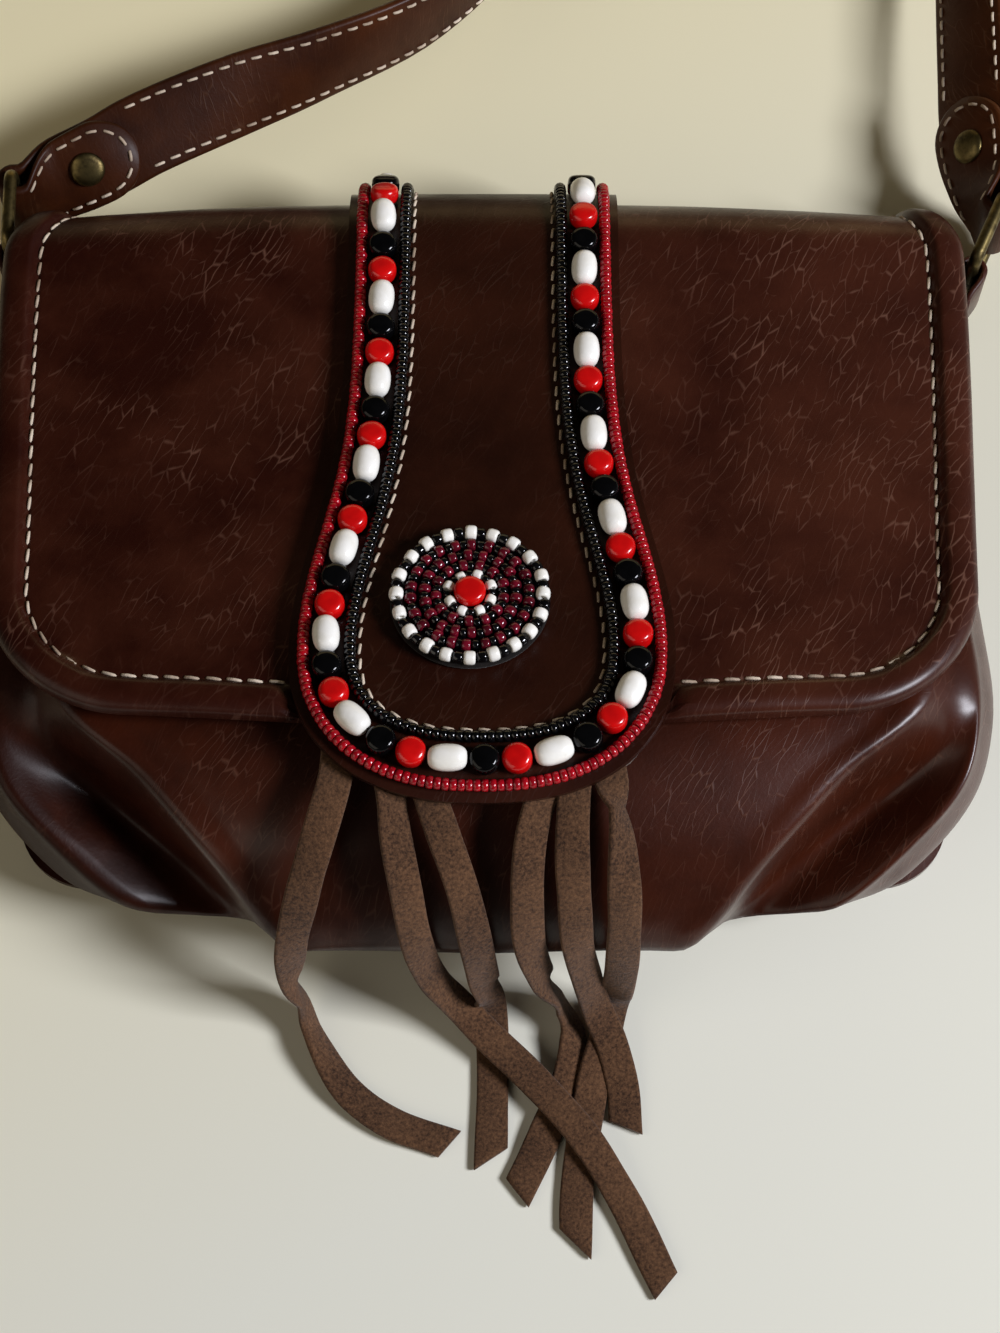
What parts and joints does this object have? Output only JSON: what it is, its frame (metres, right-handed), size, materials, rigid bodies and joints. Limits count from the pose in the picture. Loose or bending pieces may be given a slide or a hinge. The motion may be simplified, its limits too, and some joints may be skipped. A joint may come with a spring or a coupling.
{
  "type": "beaded crossbody bag",
  "caption": "Small leather crossbody bag lying on its back, with a gathered pouch, a flap with a beaded tab and rosette, a suede fringe and a long shoulder strap on brass rings.",
  "frame": {"origin": "a point on the middle line of the back panel's flat underside, the face that the bag lies on, 70 mm above the panel's lower edge", "axes": "+X to the right of someone facing the front, +Y towards the top of the bag and along the strap, +Z out of the front"},
  "size_m": [0.2683, 0.7701, 0.0728],
  "materials": {
    "bag_leather": "glossy waxed leather with fine creases",
    "strap_leather": "smooth stitched strap leather",
    "suede": "matt suede with a short nap",
    "red_glass_beads": "glossy opaque glass",
    "black_glass_beads": "glossy opaque glass",
    "large_beads": "polished opaque beads",
    "garnet_glass_beads": "glossy dark glass",
    "antique_brass": "antiqued and worn"
  },
  "bodies": {
    "root": {"back_panel": "bag_leather", "pouch_front": "bag_leather", "flap": "bag_leather", "tab": "bag_leather", "red_seed_string": "red_glass_beads", "bead_string": "large_beads", "black_seed_string": "black_glass_beads", "rosette_backing": "bag_leather", "rosette_bead_field": "garnet_glass_beads", "rosette_center_bead": "red_glass_beads", "fringe": "suede", "shoulder_strap": "strap_leather", "ring_left": "antique_brass", "ring_right": "antique_brass", "ring_tab_left": "bag_leather", "ring_tab_right": "bag_leather", "rivet_left": "antique_brass", "rivet_right": "antique_brass"}
  },
  "joints": []
}
